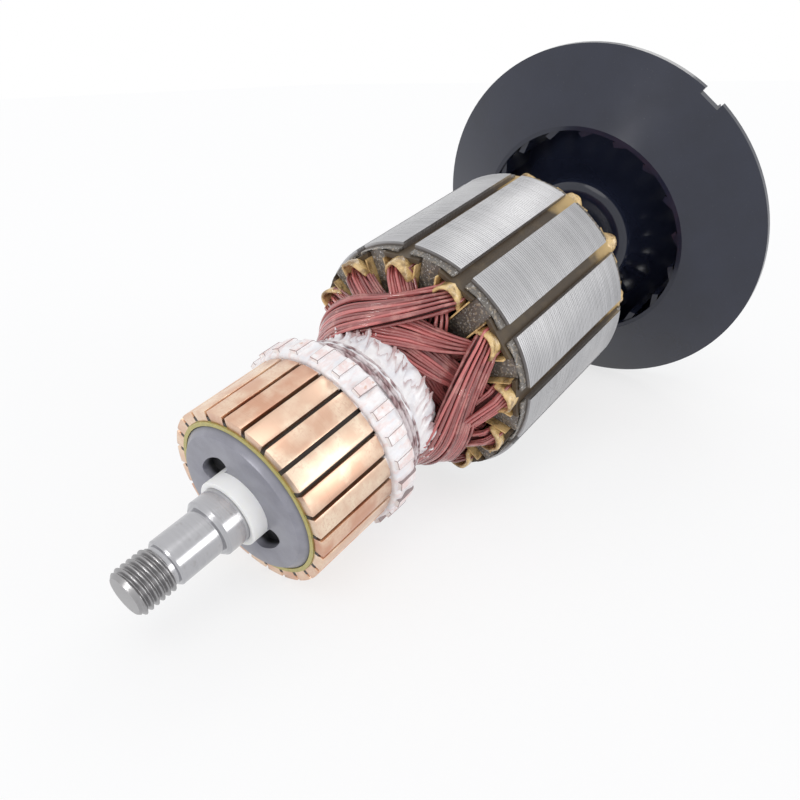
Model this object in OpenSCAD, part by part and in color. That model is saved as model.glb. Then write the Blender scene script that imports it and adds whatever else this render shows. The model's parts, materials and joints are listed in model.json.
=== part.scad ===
// Wound armature of a commutator motor: shaft, commutator, coils, slotted core and shrouded fan.
// Every piece is drawn along the shaft's own axis, with zero at the front edge of the commutator.
// The whole is then laid down as it rests, on that edge and on the rim of the fan, with z = 0
// the surface below and the origin under the middle of the whole.

/* [Shaft] */
// Diameter of the shaft under the sleeve and in the fan
shaft_d = 10; // [9:0.5:12]
// Diameter of the front bearing seat
seat_d = 8; // [7:0.5:8.5]
// Length of the front bearing seat
seat_len = 7.9; // [5:0.1:12]
// Outer diameter of the threaded end
thread_d = 7.9; // [6:0.1:8]
// Length of the threaded end
thread_len = 6.3; // [4:0.1:12]
// Diameter of the neck between thread and seat
neck_d = 6.7; // [5:0.1:6.9]
// Length of the neck between thread and seat
neck_len = 0.8; // [0.5:0.1:2]
// Length of bare shaft between the front seat and the sleeve
shoulder_len = 4.1; // [2:0.1:8]
// Length of shaft behind the fan
drive_len = 24; // [15:1:40]
// Diameter of the rear bearing seat
drive_seat_d = 9; // [8:0.1:9.8]
// Length of the rear bearing seat
drive_seat_len = 16; // [8:1:20]
// Chamfer on the ends and steps of the shaft
shaft_edge = 0.6; // [0.2:0.1:1]

/* [Sleeve] */
// Wall of the insulating sleeve on the shaft
sleeve_wall = 1; // [0.6:0.1:1.5]
// Length of sleeve in front of the commutator
sleeve_front = 4.1; // [1.5:0.1:8]
// Length of sleeve behind the core
sleeve_rear = 19; // [17:0.5:20]

/* [Commutator] */
// Number of copper bars, two for each slot of the core
bar_count = 24; // [24]
// Diameter of the brush track
comm_d = 32.8; // [31:0.2:34]
// Length of the brush track
track_len = 16.4; // [12:0.2:20]
// Length of the stepped part that carries the hooks
riser_len = 5; // [4.6:0.2:7]
// Depth of the step between the track and the hooks
riser_step = 0.5; // [0.2:0.1:0.8]
// Radial depth of a bar
bar_depth = 3.6; // [3:0.1:4]
// Gap between two bars
bar_gap = 0.7; // [0.4:0.1:1]
// Depth of the open groove between two bars
undercut = 1; // [0.5:0.1:1.5]
// Width of a hook
hook_w = 1.9; // [1.2:0.1:2.4]
// Thickness of a hook
hook_t = 0.9; // [0.6:0.1:1.2]
// Length of a hook along the shaft
hook_len = 4.2; // [3:0.1:4.4]
// Height of a hook above the brush track
hook_rise = 1.4; // [1.1:0.1:2]
// Diameter of the grey ring in the front face
ring_d = 27.6; // [26:0.2:28]
// Thickness of the grey ring
ring_t = 3.3; // [2:0.1:4]
// Height of the grey ring above the front of the bars
ring_proud = 1.3; // [0.5:0.1:1.5]
// Width of the bevel on the grey ring
ring_bevel = 1.2; // [0.5:0.1:1.5]
// Width of the insulating rim between the grey ring and the bars
rim_w = 0.7; // [0.4:0.1:1]
// Radial width of the two pockets in the grey ring
pocket_w = 2.8; // [2:0.1:3.2]
// Angle that each pocket spans between the centres of its round ends
pocket_span = 42; // [30:60]
// Depth of the two pockets
pocket_depth = 2.2; // [1:0.1:2.4]

/* [Core] */
// Outer diameter of the core
core_d = 48.6; // [47:0.2:52]
// Length of the core between its end plates
core_len = 36.2; // [30:0.2:50]
// Distance from the back of the commutator to the core
lead_space = 25; // [24:0.2:30]
// Number of slots
slot_count = 12; // [12]
// Width of a tooth
tooth_w = 4.2; // [3.8:0.1:4.6]
// Width of the mouth of a slot
slot_mouth = 2.6; // [2:0.1:3.2]
// Thickness of the tooth tips over a slot
tip_t = 1.4; // [1:0.1:1.8]
// Radial depth of a slot, mouth included
slot_depth = 11.8; // [11:0.1:12.2]
// Thickness of each end plate
plate_t = 1.8; // [1:0.1:2.5]
// How far the end plates stay inside the core's diameter, on the radius
plate_step = 0.7; // [0.3:0.1:1]

/* [Winding] */
// Height of each end winding above its end plate
end_len = 15; // [14.4:0.2:16]
// Thickness of the slot liners
liner_t = 0.3; // [0.2:0.05:0.4]
// How far the liners stand out of the end plates
liner_out = 1.6; // [0.8:0.1:2.5]
// Thickness of the slot wedges
wedge_t = 0.8; // [0.6:0.1:1]
// Clearance of the coils in their slots and round the sleeve
coil_clear = 0.15; // [0.1:0.05:0.25]
// Thickness of a coil at the middle of its end turn
band_t = 2.2; // [1.8:0.1:2.4]
// Width of the innermost coils at the middle of their end turns
inner_band_w = 4.5; // [3.5:0.1:5]
// Width of the outermost coils at the middle of their end turns
outer_band_w = 9.6; // [8:0.1:10.5]
// Radius of the outermost coils at the middle of their end turns
crown_r = 15.3; // [14:0.1:16]
// Angle that the surface of the end windings makes with the shaft
crown_lean = 37; // [30:45]

/* [Coating] */
// Distance from the back of the commutator to the cord
cord_gap = 2.4; // [1.8:0.1:3]
// Diameter of the cord that ties the leads down
cord_d = 0.8; // [0.5:0.1:1.2]
// Number of turns of that cord
cord_turns = 2; // [1:3]
// Radius of the coated leads under the cord
lead_r = 14; // [13:0.1:15]
// Radius of the coated leads where they meet the winding
lead_end_r = 12.3; // [11:0.1:13]
// Distance from the tops of the hooks down to the coating between them
coat_drop = 0.6; // [0.3:0.1:0.9]

/* [Fan] */
// Outer diameter of the fan
fan_d = 84; // [78:1:92]
// Diameter of the fan's inlet
inlet_d = 50.2; // [46:0.2:54]
// Distance from the core to the inlet of the fan
fan_gap = 27; // [26:0.2:32]
// Height of the shroud's cone from inlet to rim
cone_h = 7.3; // [5:0.1:9]
// Wall of the shroud, the back disc and the blades
fan_wall = 1.3; // [1:0.1:1.6]
// Depth of the fan from its inlet to the back of its disc
fan_depth = 13.5; // [12:0.1:18]
// Number of blades
blade_count = 18; // [12:24]
// Diameter of the circle where the blades begin
blade_in_d = 44; // [40:1:48]
// Diameter of the circle where the blades end
blade_out_d = 76; // [70:1:78]
// Angle of a blade against the radius, at its middle
blade_lean = 35; // [15:50]
// Diameter of the fan's boss
boss_d = 28; // [24:1:32]
// Length of the boss in front of the inlet
boss_front = 2.6; // [1.6:0.2:5]
// Rounding of the front of the boss
boss_round = 3; // [1:0.5:4]
// Width of the lip round the inlet
lip_w = 1; // [0.6:0.1:2]
// Width of the balancing notch in the rim
notch_w = 5; // [3:0.5:8]
// Depth of the balancing notch
notch_depth = 1.3; // [0.6:0.1:1.6]

/* [Hidden] */
$fn = 96;

// Radii
shaft_r = shaft_d / 2;
sleeve_r = shaft_r + sleeve_wall;
comm_r = comm_d / 2;
riser_r = comm_r - riser_step;
bar_in_r = comm_r - bar_depth;
hook_r = comm_r + hook_rise;
ring_r = ring_d / 2;
core_r = core_d / 2;
fan_r = fan_d / 2;
inlet_r = inlet_d / 2;
boss_r = boss_d / 2;

// How far a cutting shape reaches past what it cuts, and one solid into the next
cut = 1;
overlap = 0.5;

// Places along the shaft
riser_z = track_len;
comm_end_z = riser_z + riser_len;
hook_back = 0.2;
collar_z = comm_end_z + overlap;
foot_lip = 1;
foot_z = ring_t - ring_proud + foot_lip;
core_z = comm_end_z + lead_space;
core_end_z = core_z + core_len;
inlet_z = core_end_z + fan_gap;
rim_z = inlet_z + cone_h;
fan_end_z = inlet_z + fan_depth;
shaft_end_z = fan_end_z + drive_len;
sleeve_z = -sleeve_front;
sleeve_end_z = core_end_z + sleeve_rear;
shoulder_z = sleeve_z - shoulder_len;
seat_z = shoulder_z - seat_len;
neck_z = seat_z - neck_len;
thread_z = neck_z - thread_len;

// Angles round the shaft, from the side that the armature lies on
bar_pitch = 360 / bar_count;
slot_pitch = 360 / slot_count;
bar_turn = 12.2;
slot_turn = 3.6;
pocket_turn = 145.4;
notch_turn = 222.9;

// The rest: the front edge of the track and the rim of the fan both touch z = 0
tilt = atan((fan_r - comm_r) / rim_z);
x_low = thread_z * cos(tilt) - (thread_d / 2 - shaft_edge) * sin(tilt);
x_high = shaft_end_z * cos(tilt) + (drive_seat_d / 2 - shaft_edge) * sin(tilt);
x_rest = -(x_low + x_high) / 2;
z_rest = comm_r * cos(tilt);

// Slot: the radius at its bottom and under its tooth tips, and its half width at radius r
slot_low_r = core_r - slot_depth;
slot_top_r = core_r - tip_t;
function slot_half(r, inset = 0) = r * tan(slot_pitch / 2) - (tooth_w / 2 + inset) / cos(slot_pitch / 2);

// Coil sides: the lower one takes the bottom of the slot, the upper one the space to the wedge
side_low_r = slot_low_r + liner_t + coil_clear;
side_top_r = slot_top_r - wedge_t - coil_clear;
side_split_r = side_low_r + 0.62 * (side_top_r - side_low_r);
low_r = (side_low_r + side_split_r) / 2;
low_t = side_split_r - side_low_r - coil_clear;
low_w = 2 * slot_half(low_r, liner_t + coil_clear);
high_r = (side_split_r + side_top_r) / 2;
high_t = side_top_r - side_split_r - coil_clear;
high_w = 2 * slot_half(high_r, liner_t + coil_clear);

// End windings: six layers of two coils, each layer over the one before
layers = slot_count / 2;
coil_throw = 5;
half_throw = coil_throw * slot_pitch / 2;
exit_h = 4 * coil_clear;
turn_steps = 5;
coil_sides = 7;
// Layer of the coil that starts in slot m, the outermost layer being the last
function coil_layer(m) = (7 - m + slot_count) % layers;
function starts_high(m) = coil_layer(m) > 0;
function ends_high(m) = coil_layer(m) == layers - 1;
function lerp(a, b, f) = a + (b - a) * f;
// Width, radius and height of a coil at the middle of its end turn
function outwards(m) = coil_layer(m) / (layers - 1);
function band_w(m) = lerp(inner_band_w, outer_band_w, outwards(m));
inner_r = sleeve_r + coil_clear + inner_band_w / 2 * sin(crown_lean) + band_t / 2 * cos(crown_lean);
inner_h = exit_h + inner_band_w / 2 * cos(crown_lean) + band_t / 2 * sin(crown_lean);
outer_h = end_len - liner_out - outer_band_w / 2 * cos(crown_lean) - band_t / 2 * sin(crown_lean);
function mid_r(m) = lerp(inner_r, crown_r, pow(outwards(m), 1.1));
function mid_h(m) = lerp(inner_h, outer_h, outwards(m));

module lay_down() {
    translate([x_rest, 0, z_rest])
        rotate([0, 90 - tilt, 0])
            children();
}

module tube(r_out, r_in, z_from, z_to) {
    translate([0, 0, z_from])
        difference() {
            cylinder(r = r_out, h = z_to - z_from);
            translate([0, 0, -cut])
                cylinder(r = r_in, h = z_to - z_from + 2 * cut);
        }
}

// ---- Shaft and sleeve

module shaft() {
    e = shaft_edge;
    thread_r = thread_d / 2;
    drive_r = drive_seat_d / 2;
    drive_z = shaft_end_z - drive_seat_len;
    color("silver")
        rotate_extrude()
            polygon([
                [0, thread_z], [thread_r - e, thread_z], [thread_r, thread_z + e],
                [thread_r, neck_z], [neck_d / 2, neck_z], [neck_d / 2, seat_z],
                [seat_d / 2 - e / 2, seat_z], [seat_d / 2, seat_z + e / 2],
                [seat_d / 2, shoulder_z], [shaft_r - e, shoulder_z], [shaft_r, shoulder_z + e],
                [shaft_r, drive_z - e], [drive_r, drive_z],
                [drive_r, shaft_end_z - e], [drive_r - e, shaft_end_z], [0, shaft_end_z]
            ]);
}

module insulating_sleeve() {
    color("ivory")
        tube(sleeve_r, shaft_r, sleeve_z, sleeve_end_z);
}

// ---- Commutator

// Flat outline of one bar: a wedge whose sides stay half a gap from the planes between bars
module bar_wedge() {
    half = bar_pitch / 2;
    tip = bar_gap / 2 / sin(half);
    reach = comm_r + cut;
    polygon([[tip, 0], [reach, -(reach - tip) * tan(half)], [reach, (reach - tip) * tan(half)]]);
}

// Section of a bar along the shaft: front face, track, step and the foot in the body
module bar_profile() {
    face_r = ring_r + rim_w;
    polygon([
        [face_r, 0], [comm_r, 0], [comm_r, riser_z], [riser_r, riser_z],
        [riser_r, comm_end_z], [bar_in_r, comm_end_z], [bar_in_r, foot_z], [face_r, foot_z]
    ]);
}

// Side view of a hook: a leg at the back of the bar, a round bend and a flat tab towards the front
module hook_profile() {
    bend = [hook_r - hook_t, comm_end_z + hook_back - hook_t];
    translate([riser_r - cut, bend.y])
        square([bend.x - riser_r + cut, hook_t]);
    intersection() {
        translate(bend)
            circle(r = hook_t);
        translate(bend)
            square(hook_t);
    }
    translate([bend.x, comm_end_z - hook_len])
        square([hook_t, hook_len + hook_back - hook_t]);
}

module hook() {
    rotate([90, 0, 0])
        linear_extrude(hook_w, center = true)
            hook_profile();
}

module commutator_bar(k) {
    color("peru")
        rotate([0, 0, bar_turn + k * bar_pitch])
            union() {
                intersection() {
                    rotate_extrude()
                        bar_profile();
                    linear_extrude(comm_end_z)
                        bar_wedge();
                }
                hook();
            }
}

// Side view of the low rib that fills a gap between two bars
module rib_profile() {
    rib_r = comm_r - undercut;
    root_r = bar_in_r - overlap;
    rim_root_r = ring_r + rim_w / 2;
    polygon([
        [rim_root_r, 0], [rib_r, 0], [rib_r, comm_end_z], [root_r, comm_end_z],
        [root_r, foot_z - overlap], [rim_root_r, foot_z - overlap]
    ]);
}

// Moulded body that holds the bars, with a low rib in each gap between two bars
module commutator_body() {
    back_z = ring_t - ring_proud;
    rim_r = ring_r + rim_w;
    rim_lift = 0.2;
    color("darkkhaki")
        union() {
            rotate_extrude()
                polygon([
                    [sleeve_r, back_z], [ring_r, back_z], [ring_r, -rim_lift], [rim_r, -rim_lift],
                    [rim_r, foot_z], [bar_in_r, foot_z], [bar_in_r, collar_z], [sleeve_r, collar_z]
                ]);
            for (k = [0:bar_count - 1])
                rotate([0, 0, bar_turn + (k + 0.5) * bar_pitch])
                    rotate([90, 0, 0])
                        linear_extrude(bar_gap, center = true)
                            rib_profile();
        }
}

// Ring in the front face, with two curved pockets against the sleeve
module front_ring() {
    back_z = ring_t - ring_proud;
    pocket_r = sleeve_r + pocket_w / 2;
    color("slategray")
        difference() {
            rotate_extrude()
                polygon([
                    [sleeve_r, -ring_proud], [ring_r - ring_bevel, -ring_proud],
                    [ring_r, 0], [ring_r, back_z], [sleeve_r, back_z]
                ]);
            for (side = [0, 180])
                rotate([0, 0, pocket_turn + side])
                    translate([0, 0, -ring_proud - cut]) {
                        rotate([0, 0, -pocket_span / 2])
                            rotate_extrude(angle = pocket_span)
                                translate([sleeve_r - cut, 0])
                                    square([pocket_w + cut, pocket_depth + cut]);
                        for (a = [-pocket_span / 2, pocket_span / 2])
                            rotate([0, 0, a])
                                translate([pocket_r, 0, 0])
                                    cylinder(d = pocket_w, h = pocket_depth + cut);
                    }
        }
}

// ---- Leads between commutator and winding

coat_lap = 0.3;
coat_round = 0.6;
cord_bed = 0.2;
coat_slope = 1.8;
cord_z = comm_end_z + cord_gap;
coat_r = hook_r - coat_drop;
winding_z = core_z - plate_t - end_len;

module cord_rings() {
    for (i = [0:cord_turns - 1])
        translate([0, 0, cord_z + (i + 0.5) * cord_d])
            rotate_extrude()
                translate([lead_r, 0])
                    circle(d = cord_d, $fn = 24);
}

module lead_coating() {
    front_z = comm_end_z - hook_len - coat_lap;
    cord_end_z = cord_z + cord_turns * cord_d;
    color("whitesmoke")
        difference() {
            rotate_extrude()
                polygon([
                    [sleeve_r, collar_z], [bar_in_r, collar_z], [bar_in_r, comm_end_z],
                    [riser_r, comm_end_z], [riser_r, front_z], [coat_r, front_z],
                    [coat_r, comm_end_z + coat_round], [lead_r, cord_z - cord_bed],
                    [lead_r, cord_end_z + cord_bed],
                    [lead_end_r, cord_end_z + coat_slope], [lead_end_r, winding_z], [sleeve_r, winding_z]
                ]);
            for (k = [0:bar_count - 1])
                rotate([0, 0, bar_turn + k * bar_pitch])
                    hook();
            cord_rings();
        }
}

module binding_cord() {
    color("saddlebrown")
        cord_rings();
}

// ---- Core

module slot_opening() {
    polygon([
        [slot_low_r, -slot_half(slot_low_r)], [slot_top_r, -slot_half(slot_top_r)],
        [slot_top_r, slot_half(slot_top_r)], [slot_low_r, slot_half(slot_low_r)]
    ]);
    translate([slot_top_r - overlap, -slot_mouth / 2])
        square([tip_t + overlap + cut, slot_mouth]);
}

module core_section(r_out) {
    difference() {
        circle(r = r_out);
        circle(r = sleeve_r);
        for (m = [0:slot_count - 1])
            rotate(slot_turn + m * slot_pitch)
                slot_opening();
    }
}

module core_stack() {
    color("gainsboro")
        translate([0, 0, core_z])
            linear_extrude(core_len)
                core_section(core_r);
}

module end_plate(z_from) {
    color("dimgray")
        translate([0, 0, z_from])
            linear_extrude(plate_t)
                core_section(core_r - plate_step);
}

module slot_liners() {
    wedge_low_r = slot_top_r - wedge_t;
    inner_r = slot_low_r + liner_t;
    z_from = core_z - plate_t - liner_out;
    color("goldenrod")
        for (m = [0:slot_count - 1])
            rotate([0, 0, slot_turn + m * slot_pitch])
                translate([0, 0, z_from])
                    linear_extrude(core_len + 2 * (plate_t + liner_out))
                        difference() {
                            polygon([
                                [slot_low_r, -slot_half(slot_low_r)],
                                [wedge_low_r, -slot_half(wedge_low_r)],
                                [wedge_low_r, slot_half(wedge_low_r)],
                                [slot_low_r, slot_half(slot_low_r)]
                            ]);
                            polygon([
                                [inner_r, -slot_half(inner_r, liner_t)],
                                [core_r, -slot_half(core_r, liner_t)],
                                [core_r, slot_half(core_r, liner_t)],
                                [inner_r, slot_half(inner_r, liner_t)]
                            ]);
                        }
}

module slot_wedges() {
    wedge_low_r = slot_top_r - wedge_t;
    z_from = core_z - plate_t - liner_out / 2;
    color("sienna")
        for (m = [0:slot_count - 1])
            rotate([0, 0, slot_turn + m * slot_pitch])
                translate([0, 0, z_from])
                    linear_extrude(core_len + 2 * plate_t + liner_out)
                        polygon([
                            [wedge_low_r, -slot_half(wedge_low_r)], [slot_top_r, -slot_half(slot_top_r)],
                            [slot_top_r, slot_half(slot_top_r)], [wedge_low_r, slot_half(wedge_low_r)]
                        ]);
}

// ---- Coils

function unit(v) = v / norm(v);

// Plan of half an end turn: straight from the slot at radius r to the circle of radius round_r,
// then along it. f runs from 0 at the slot to 1 at the middle; the result is [radius, angle].
function plan(r, round_r, f) =
    let (
        bend_a = acos(round_r / r),
        straight = r * sin(bend_a),
        arc = round_r * (half_throw - bend_a) * PI / 180,
        s = f * (straight + arc),
        left = straight - s
    )
    left > 0
        ? [norm([round_r, left]), bend_a - atan2(left, round_r)]
        : [round_r, bend_a - left / round_r * 180 / PI];

// Centre of a coil's end turn, with u from 0 at the first slot to 1 at the second
function turn_point(m, u) =
    let (
        first = u < 0.5,
        f = first ? 2 * u : 2 - 2 * u,
        r = (first ? starts_high(m) : ends_high(m)) ? high_r : low_r,
        p = plan(r, mid_r(m), f),
        a = first ? p[1] : 2 * half_throw - p[1]
    )
    concat(p[0] * [cos(a), sin(a)], [mid_h(m) * (1 - pow(1 - f, 2.2))]);

// One ring of points round that centre: dir is 1 for the rear winding and -1 for the front one
function turn_ring(m, u, z_exit, dir) =
    let (
        step = 0.01,
        first = u < 0.5,
        f = first ? 2 * u : 2 - 2 * u,
        spread = min(1, 1.5 * f),
        high = first ? starts_high(m) : ends_high(m),
        thick = lerp(high ? high_t : low_t, band_t, spread),
        wide = lerp(high ? high_w : low_w, band_w(m), spread),
        c = turn_point(m, u),
        ahead = turn_point(m, min(1, u + step)) - turn_point(m, max(0, u - step)),
        along = unit(u == 0 ? [0, 0, 1] : u == 1 ? [0, 0, -1] : ahead),
        lean = crown_lean * f,
        facing = cos(lean) * unit([c.x, c.y, 0]) + [0, 0, sin(lean)],
        normal = unit(facing - (facing * along) * along),
        side = cross(along, normal)
    )
    [for (i = [0:coil_sides - 1])
        let (
            a = (i + 0.5) * 360 / coil_sides,
            p = c + thick / 2 * cos(a) * normal + wide / 2 * sin(a) * side
        )
        [p.x, p.y, z_exit + dir * p.z]];

// The whole bundle of the coil that starts in slot m, as if it lay alone
module coil_bundle(m) {
    front_z = core_z - plate_t - liner_out;
    rear_z = core_end_z + plate_t + liner_out;
    last = 2 * turn_steps;
    front = [for (i = [0:last]) turn_ring(m, i / last, front_z, -1)];
    rear = [for (i = [last:-1:0]) turn_ring(m, i / last, rear_z, 1)];
    rings = concat(front, rear);
    count = len(rings);
    points = [for (ring = rings) each ring];
    faces = [for (i = [0:count - 1]) for (j = [0:coil_sides - 1])
        let (
            a = i * coil_sides + j,
            b = i * coil_sides + (j + 1) % coil_sides,
            c = (i + 1) % count * coil_sides + (j + 1) % coil_sides,
            d = (i + 1) % count * coil_sides + j
        )
        each [[a, b, c], [a, c, d]]];
    rotate([0, 0, slot_turn + m * slot_pitch])
        polyhedron(points, faces);
}

// A coil gives way to the coils of lower layers that it crosses, because they were wound before it
module coil(m) {
    color("firebrick")
        difference() {
            coil_bundle(m);
            for (away = [1, 2, 3, 4, -4]) {
                k = (m + away + slot_count) % slot_count;
                if (coil_layer(k) < coil_layer(m))
                    coil_bundle(k);
            }
        }
}

// ---- Fan

// Section of the shroud: a shallow cone with a short upright lip at its inlet
module shroud_profile() {
    lip_r = inlet_r + lip_w;
    polygon([
        [inlet_r, inlet_z], [lip_r, inlet_z], [fan_r, rim_z], [fan_r, rim_z + fan_wall],
        [fan_r - lip_w, rim_z + fan_wall], [lip_r, inlet_z + fan_wall + lip_w / 2],
        [inlet_r, inlet_z + fan_wall + lip_w]
    ]);
}

// Boss with a rounded front, curved flow cone and back disc
module fan_hub() {
    disc_z = fan_end_z - fan_wall;
    curve_r = disc_z - inlet_z;
    front_z = inlet_z - boss_front;
    nose_r = boss_r - boss_round;
    tube(nose_r, shaft_r, front_z, fan_end_z);
    tube(boss_r, shaft_r, front_z + boss_round, fan_end_z);
    translate([0, 0, front_z + boss_round])
        rotate_extrude()
            translate([nose_r, 0])
                circle(r = boss_round);
    tube(blade_out_d / 2 + overlap, boss_r - overlap, disc_z, fan_end_z);
    difference() {
        tube(boss_r + curve_r, boss_r - overlap, inlet_z, disc_z + fan_wall / 2);
        translate([0, 0, inlet_z])
            rotate_extrude()
                translate([boss_r + curve_r, 0])
                    circle(r = curve_r);
    }
}

// Plan of one blade: an arc that leans back against the turn of the fan
module blade_plan() {
    mid_r = (blade_in_d + blade_out_d) / 4;
    reach = (blade_out_d - blade_in_d) / 2 / cos(blade_lean);
    translate([mid_r, 0])
        rotate(blade_lean)
            translate([0, -mid_r])
                intersection() {
                    difference() {
                        circle(r = mid_r + fan_wall / 2);
                        circle(r = mid_r - fan_wall / 2);
                    }
                    translate([-reach / 2, 0])
                        square([reach, 2 * mid_r]);
                }
}

// Blades, cut off along the slope of the shroud
module blades() {
    difference() {
        for (k = [0:blade_count - 1])
            rotate([0, 0, k * 360 / blade_count])
                translate([0, 0, inlet_z])
                    linear_extrude(fan_depth - fan_wall / 2)
                        blade_plan();
        rotate_extrude()
            polygon([
                [0, inlet_z - cut], [fan_r, inlet_z - cut], [fan_r, rim_z + fan_wall / 2],
                [inlet_r + lip_w, inlet_z + fan_wall / 2], [0, inlet_z + fan_wall / 2]
            ]);
    }
}

module fan() {
    color("darkslategray")
        difference() {
            union() {
                rotate_extrude()
                    shroud_profile();
                fan_hub();
                blades();
            }
            rotate([0, 0, notch_turn])
                translate([fan_r - notch_depth, -notch_w / 2, rim_z - cut])
                    cube([notch_depth + cut, notch_w, fan_wall + 2 * cut]);
        }
}

lay_down() shaft();
lay_down() insulating_sleeve();
lay_down() front_ring();
lay_down() commutator_body();
for (k = [1:24])
    lay_down() commutator_bar(k - 1);
lay_down() lead_coating();
lay_down() binding_cord();
lay_down() core_stack();
lay_down() end_plate(core_z - plate_t);  // front_end_plate
lay_down() end_plate(core_end_z);  // rear_end_plate
lay_down() slot_liners();
lay_down() slot_wedges();
for (k = [1:12])
    lay_down() coil(k - 1);
lay_down() fan();
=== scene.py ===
import json
import math
from random import Random

import bmesh
import bpy
from mathutils import Matrix, Vector, noise
from mathutils.bvhtree import BVHTree


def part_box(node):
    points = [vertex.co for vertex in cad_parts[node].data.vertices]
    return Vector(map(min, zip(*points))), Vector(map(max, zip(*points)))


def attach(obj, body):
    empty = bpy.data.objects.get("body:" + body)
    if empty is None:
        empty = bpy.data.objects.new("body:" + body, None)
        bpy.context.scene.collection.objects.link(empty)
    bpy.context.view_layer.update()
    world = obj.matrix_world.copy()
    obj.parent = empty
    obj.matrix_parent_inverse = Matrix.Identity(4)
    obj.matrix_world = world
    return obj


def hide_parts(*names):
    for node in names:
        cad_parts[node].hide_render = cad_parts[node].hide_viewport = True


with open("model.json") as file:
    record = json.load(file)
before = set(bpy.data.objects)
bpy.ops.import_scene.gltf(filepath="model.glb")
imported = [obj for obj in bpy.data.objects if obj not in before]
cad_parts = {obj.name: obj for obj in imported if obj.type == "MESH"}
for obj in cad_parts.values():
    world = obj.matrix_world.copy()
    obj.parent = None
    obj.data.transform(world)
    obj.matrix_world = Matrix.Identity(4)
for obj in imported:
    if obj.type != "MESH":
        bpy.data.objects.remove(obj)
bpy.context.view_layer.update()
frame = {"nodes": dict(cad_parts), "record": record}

bl_info = {
    "name": "Motor armature",
    "version": (1, 0, 0),
    "blender": (4, 5, 0),
    "location": "View3D > Sidebar > Armature",
    "description": "Dresses the packed armature: wires, painted leads, laminations and finishes",
    "category": "Object",
}

RECORD = frame["record"]
MM = 0.001

# ---- The armature's own frame: z along the shaft from the front edge of the commutator


def mount(name):
    return next(m for m in RECORD["mounts"] if m["name"] == name)


TRACK_LEN = 16.4
AXIS = Vector(mount("brush_track")["axis"])
TILT = math.atan2(AXIS.z, AXIS.x)
ORIGIN = Vector(mount("brush_track")["pos_m"]) - AXIS * TRACK_LEN / 2 * MM
TURN = (0.0, math.pi / 2 - TILT, 0.0)
LAY = Matrix.Translation(ORIGIN) @ Matrix.Rotation(TURN[1], 4, "Y")


def along(point):
    """Distance of a point of the row frame along the shaft, in millimetres."""
    return (Vector(point) - ORIGIN).dot(AXIS) / MM


def span(node):
    """(first z, last z, radius) of a round node, in millimetres, from its box at rest."""
    lo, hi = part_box(node)
    radius = (hi[1] - lo[1]) / 2
    lean = radius * math.sin(TILT)
    z_from = (lo[0] + lean - ORIGIN.x) / math.cos(TILT)
    z_to = (hi[0] - lean - ORIGIN.x) / math.cos(TILT)
    return z_from / MM, z_to / MM, radius / MM


def pin(name):
    """(first z, last z, radius) of a round mount, in millimetres."""
    place = mount(name)
    middle, half = along(place["pos_m"]), place["dims"]["length_mm"] / 2
    return middle - half, middle + half, place["dims"]["r_mm"]


THREAD_Z, NECK_Z, THREAD_R = pin("threaded_end")
RING_Z = span("front_ring")[0]
CORE_Z, CORE_END_Z, CORE_R = span("core_stack")
PLATE_Z = span("front_end_plate")[0]
PLATE_END_Z = span("rear_end_plate")[1]
RIM_R = 14.65  # inside this radius the moulding shows as a rim, outside it lies between the bars
TRACK_R = 16.4
PAINT_Z = 16.6  # the white paint on the bars begins here
COMM_END_Z = 21.4
CORD_Z = 23.8  # front of the groove that the cord lies in
SLEEVE_R = 6.0
BAR_COUNT, BAR_TURN = 24, 12.2  # turns in degrees, to the middle of the first one
SLOT_COUNT, SLOT_TURN = 12, 3.6


# ---- Sizes and colours that a user would change


def length(name, text, value):
    return bpy.props.FloatProperty(
        name=name, description=text, default=value * MM, unit="LENGTH", subtype="DISTANCE"
    )


def tint(name, text, value):
    return bpy.props.FloatVectorProperty(
        name=name, description=text, default=value, size=3, subtype="COLOR", min=0, max=1
    )


class ArmatureSizes(bpy.types.PropertyGroup):
    """Sizes of the dressed pieces."""

    thread_pitch: length("Thread pitch", "Distance between two crests of the thread", 1.0)
    thread_depth: length("Thread depth", "Depth of the thread", 0.55)
    wire_d: length("Wire diameter", "Diameter of one enamelled wire", 0.62)
    sheet_pitch: length("Sheet pitch", "Distance between two sheets of the core", 0.5)
    sheet_gap: length("Sheet gap", "Groove between two sheets of the core", 0.05)
    cord_d: length("Cord diameter", "Diameter of the cord round the leads", 0.8)
    edge: length("Edge", "Width of the softened edges", 0.12)
    wires_across: bpy.props.IntProperty(
        name="Wires across", description="Wires side by side on a coil's broad face", default=17
    )


class ArmatureColours(bpy.types.PropertyGroup):
    """Main colours of the finishes."""

    copper: tint("Copper", "Turned copper of the brush track", (0.74, 0.41, 0.28))
    wire: tint("Wire", "Enamelled wire", (0.37, 0.102, 0.098))
    wire_light: tint("Light wire", "Enamelled wire, thinly varnished", (0.62, 0.27, 0.24))
    steel: tint("Steel", "Ground steel", (0.48, 0.48, 0.50))
    sheet: tint("Core sheets", "Turned edges of the core's sheets", (0.49, 0.49, 0.505))
    paint: tint("Lead coating", "White coating on hooks and leads", (0.95, 0.93, 0.935))
    blush: tint("Thin coating", "White coating where copper shows through", (0.86, 0.66, 0.63))
    film: tint("Slot film", "Amber slot insulation", (0.64, 0.45, 0.20))
    board: tint("End board", "Speckled end plates", (0.13, 0.115, 0.10))
    ring: tint("Ring", "Grey ring in the front of the commutator", (0.255, 0.255, 0.295))
    resin: tint("Resin", "Moulding that holds the bars", (0.42, 0.37, 0.13))
    fan: tint("Fan", "Black fan moulding", (0.013, 0.016, 0.031))
    sleeve: tint("Sleeve", "White sleeve on the shaft", (0.96, 0.955, 0.93))


def sizes():
    return bpy.context.scene.armature_sizes


def colours():
    return bpy.context.scene.armature_colours


# ---- Node materials


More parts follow.
